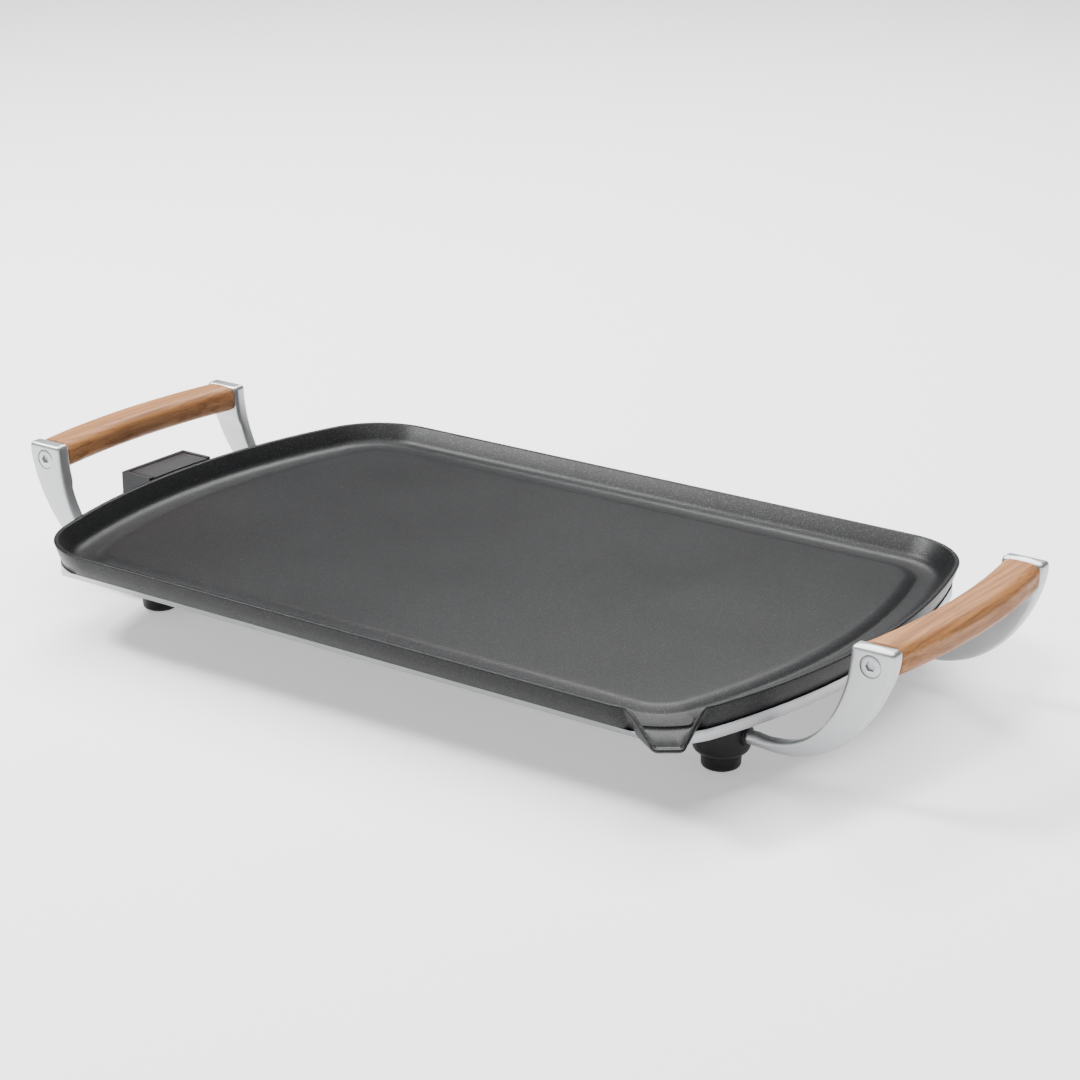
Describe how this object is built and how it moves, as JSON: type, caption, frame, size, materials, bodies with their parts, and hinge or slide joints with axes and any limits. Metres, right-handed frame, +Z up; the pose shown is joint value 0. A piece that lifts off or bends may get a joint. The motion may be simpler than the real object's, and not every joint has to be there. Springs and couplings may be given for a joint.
{
  "type": "electric griddle",
  "caption": "Large electric griddle: dark cast plate with drip gutter and corner spout, silver tray, levelling feet, cast arms with bowed wooden grips, inlet for a plug-in controller.",
  "frame": {"origin": "middle of the outer box, at worktop level", "axes": "+X towards the right handle, +Y towards the back long side, +Z up; the spout is at the front right corner and the inlet at the left end"},
  "size_m": [0.6138, 0.3281, 0.088],
  "materials": {
    "plate_coating": "cast aluminium under a dark grey non-stick coating with fine metallic speckle",
    "tray_silver": "silver lacquered aluminium sheet, satin",
    "sheet_steel": "bare galvanised sheet",
    "screw_steel": "zinc plated",
    "element_steel": "stainless sheath, heat stained",
    "washer_ceramic": "unglazed, off-white",
    "label_foil": "plain foil, no print",
    "black_plastic": "moulded heat-resistant plastic, matt",
    "pad_rubber": "plain rubber",
    "arm_silver": "die cast, satin silver",
    "oiled_wood": "oiled hardwood, grain along the grip",
    "insert_brass": "bare",
    "inlet_plastic": "dark grey moulded heat-resistant plastic"
  },
  "bodies": {
    "griddle": {"griddle_plate": "plate_coating", "heating_element": "element_steel", "element_clamps": "sheet_steel", "clamp_screws": "screw_steel", "base_tray": "tray_silver", "tray_screws": "screw_steel", "tray_washers": "washer_ceramic", "blank_label": "label_foil", "foot_collars": "black_plastic", "collar_screws": "screw_steel", "arm_front_left": "arm_silver", "arm_front_right": "arm_silver", "arm_back_left": "arm_silver", "arm_back_right": "arm_silver", "arm_lock_pins": "screw_steel", "grip_left": "oiled_wood", "grip_right": "oiled_wood", "grip_inserts": "insert_brass", "grip_screws": "arm_silver", "inlet_housing": "inlet_plastic", "inlet_cover": "inlet_plastic", "cover_screws": "screw_steel", "terminal_bracket": "sheet_steel", "ceramic_bushings": "washer_ceramic", "contact_pins": "element_steel", "probe_guide": "element_steel", "earth_contact": "sheet_steel", "inlet_screws": "screw_steel"},
    "foot_front_left": {"leg_front_left": "black_plastic", "stud_front_left": "screw_steel", "pad_front_left": "pad_rubber"},
    "foot_front_right": {"leg_front_right": "black_plastic", "stud_front_right": "screw_steel", "pad_front_right": "pad_rubber"},
    "foot_back_left": {"leg_back_left": "black_plastic", "stud_back_left": "screw_steel", "pad_back_left": "pad_rubber"},
    "foot_back_right": {"leg_back_right": "black_plastic", "stud_back_right": "screw_steel", "pad_back_right": "pad_rubber"}
  },
  "joints": [
    {"name": "level_front_left", "type": "slide", "parent": "griddle", "child": "foot_front_left", "axis": [0, 0, -1], "range_m": [0, 0.005]},
    {"name": "level_front_right", "type": "slide", "parent": "griddle", "child": "foot_front_right", "axis": [0, 0, -1], "range_m": [0, 0.005]},
    {"name": "level_back_left", "type": "slide", "parent": "griddle", "child": "foot_back_left", "axis": [0, 0, -1], "range_m": [0, 0.005]},
    {"name": "level_back_right", "type": "slide", "parent": "griddle", "child": "foot_back_right", "axis": [0, 0, -1], "range_m": [0, 0.005]}
  ]
}
